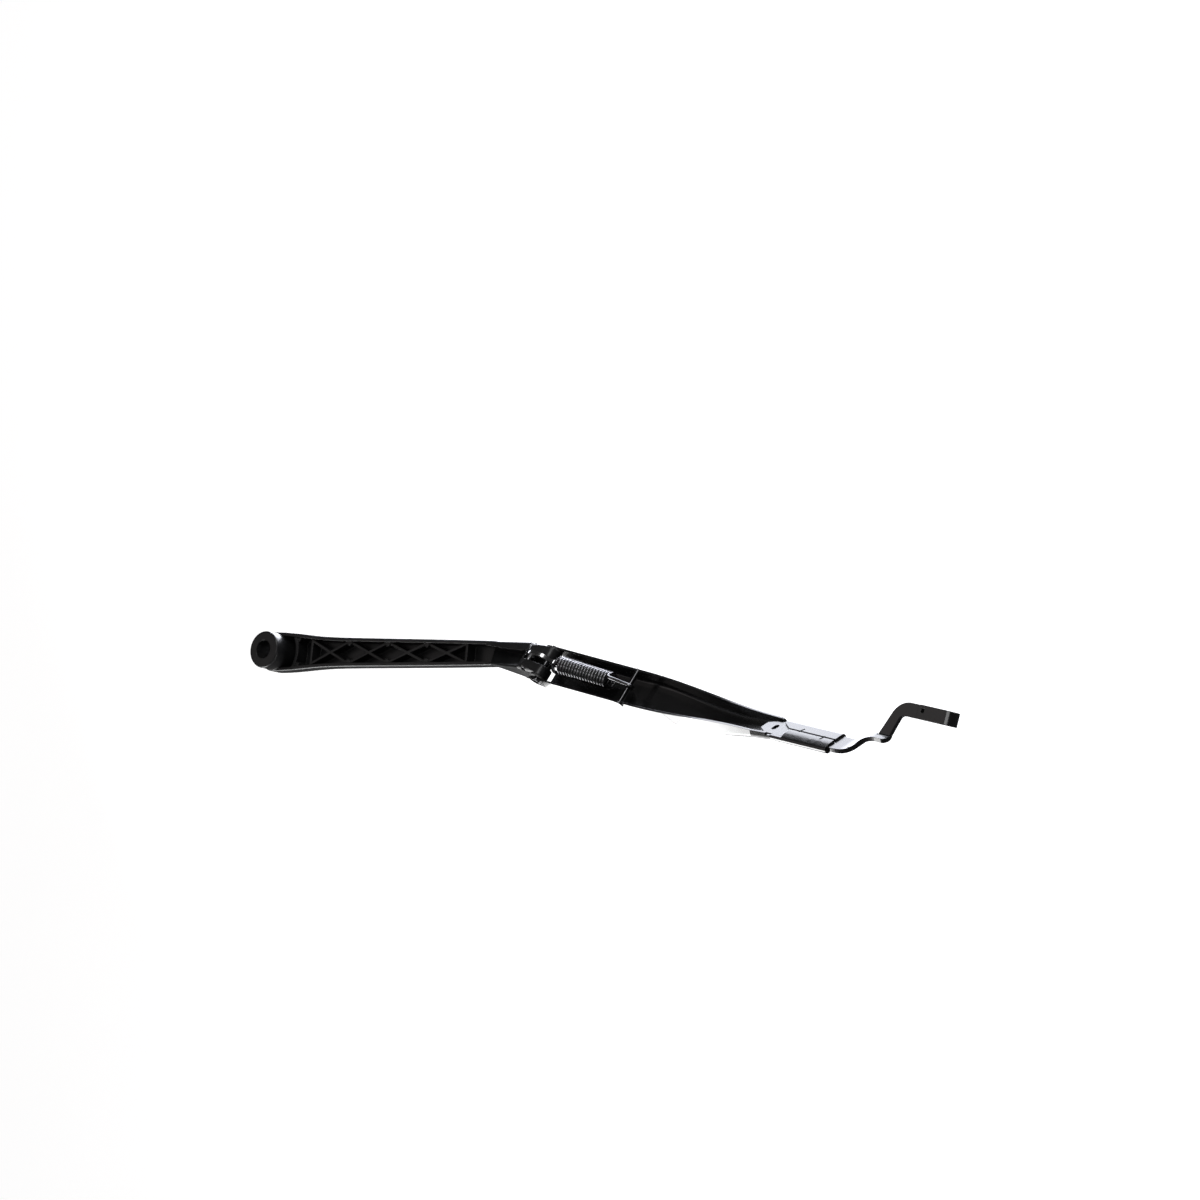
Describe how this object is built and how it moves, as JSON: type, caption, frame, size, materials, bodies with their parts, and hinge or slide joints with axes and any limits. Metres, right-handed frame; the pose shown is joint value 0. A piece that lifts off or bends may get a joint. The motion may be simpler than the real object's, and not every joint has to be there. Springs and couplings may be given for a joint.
{
  "type": "windscreen wiper arm",
  "caption": "Sprung wiper arm: ribbed cast head with a spindle boss, hinged pressed channel with an extension spring, and a flat bar cranked into a J-hook for the blade.",
  "frame": {"origin": "centre of the mouth of the spindle bore", "axes": "+Z along the spindle bore, out of its mouth and towards the glass; +X along the head, towards the hinge and the hook"},
  "size_m": [0.6172, 0.0809, 0.0679],
  "materials": {
    "black_casting": "satin black paint on a die casting",
    "black_pressing": "gloss black paint on pressed steel",
    "black_steel": "black paint on steel pins",
    "plated_steel": "zinc plated",
    "link_steel": "black paint on a stamped link",
    "spring_steel": "black coated spring wire",
    "bush_plastic": "black moulded bush"
  },
  "bodies": {
    "head": {"arm_head": "black_casting", "hinge_bush_upper": "bush_plastic", "hinge_bush_lower": "bush_plastic", "spring_anchor": "plated_steel"},
    "channel": {"arm_channel": "black_pressing", "hinge_pin": "black_steel", "spring_pin": "black_steel", "arm_bar": "black_pressing"},
    "link": {"spring_link": "link_steel", "arm_spring": "spring_steel"}
  },
  "joints": [
    {"name": "arm_hinge", "type": "hinge", "parent": "head", "child": "channel", "pos_m": [0.24846, -0.00799, -0.00669], "axis": [0.2235, 0.8939, -0.3886], "range_deg": [0, 50], "stiffness_Nm_per_rad": 2, "springref_deg": -114.59},
    {"name": "link_hinge", "type": "hinge", "parent": "head", "child": "link", "pos_m": [0.23813, -0.00354, -0.00239], "axis": [0.2235, 0.8939, -0.3886], "range_deg": [0, 45], "deforming": ["arm_spring"]}
  ],
  "couplings": [
    {"joint": "link_hinge", "follows": "arm_hinge", "ratio": 0.8713}
  ]
}
